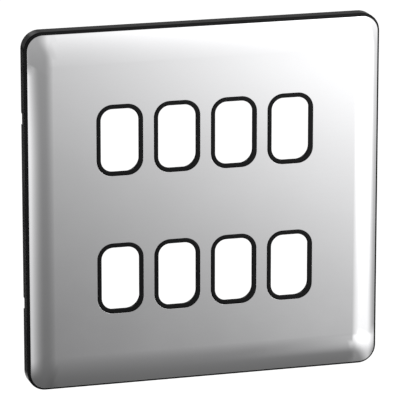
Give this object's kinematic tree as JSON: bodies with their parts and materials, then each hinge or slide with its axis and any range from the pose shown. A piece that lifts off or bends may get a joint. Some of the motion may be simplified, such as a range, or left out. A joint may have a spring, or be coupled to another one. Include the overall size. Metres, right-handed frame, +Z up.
{
  "type": "grid switch plate",
  "caption": "Square screwless wall plate for grid switch modules: polished metal front with rolled shoulders over a black moulded frame whose collars line its apertures, on a steel yoke.",
  "frame": {"origin": "centre of the wall fixing pattern, in the wall plane", "axes": "+X to the plate's right as seen from the front, +Y into the wall, +Z up; the polished face looks along -Y"},
  "size_m": [0.1556, 0.0276, 0.1556],
  "materials": {
    "polished_plate": "polished",
    "black_moulding": "satin moulded",
    "zinc_steel": "zinc plated",
    "screw_steel": "nickel plated",
    "terminal_brass": "machined"
  },
  "bodies": {
    "root": {"front_plate": "polished_plate", "inner_frame": "black_moulding", "grid_yoke": "zinc_steel", "fixing_screws": "screw_steel", "earth_terminal": "terminal_brass", "earth_screw": "screw_steel"}
  },
  "joints": []
}
